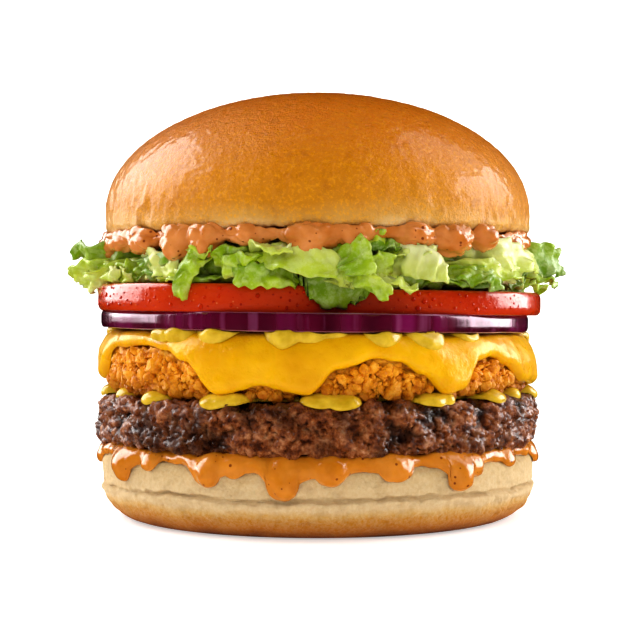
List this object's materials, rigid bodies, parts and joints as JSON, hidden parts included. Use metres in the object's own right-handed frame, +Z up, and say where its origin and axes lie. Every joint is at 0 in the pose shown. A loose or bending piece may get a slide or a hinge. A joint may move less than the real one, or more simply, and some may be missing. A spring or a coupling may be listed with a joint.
{
  "type": "beef and breaded chicken burger",
  "caption": "Tall burger in a glossy bun, stacked with a beef patty, a breaded patty under melted cheese, red onion, tomato, shredded lettuce, mustard and sauce.",
  "frame": {"origin": "middle of the flat base that the bun's heel rests on", "axes": "+Z up through the layers, -Y towards the picture's camera, +X to the picture's right"},
  "size_m": [0.1276, 0.1192, 0.1077],
  "materials": {
    "bun_crumb": "matte, fine dry crumb with a brown baked base",
    "glazed_crust": "glossy egg-washed crust",
    "burger_sauce": "glossy",
    "burger_sauce_upper": "glossy",
    "grilled_beef": "craggy, with a fatty sheen",
    "fried_breading": "rough crumbs with an oily sheen",
    "melted_cheese": "smooth and glossy",
    "mustard": "glossy",
    "red_onion": "wet sheen",
    "tomato": "glossy skin with drops of water",
    "iceberg": "waxy leaf"
  },
  "bodies": {
    "root": {"bun_heel": "bun_crumb", "sauce_lower": "burger_sauce", "beef_patty": "grilled_beef", "mustard_lower": "mustard", "chicken_patty": "fried_breading", "cheese_slice": "melted_cheese", "mustard_upper": "mustard", "onion_slice": "red_onion", "tomato_left": "tomato", "tomato_right": "tomato", "tomato_back": "tomato", "lettuce": "iceberg", "sauce_upper": "burger_sauce_upper", "bun_crown": "glazed_crust"}
  },
  "joints": []
}
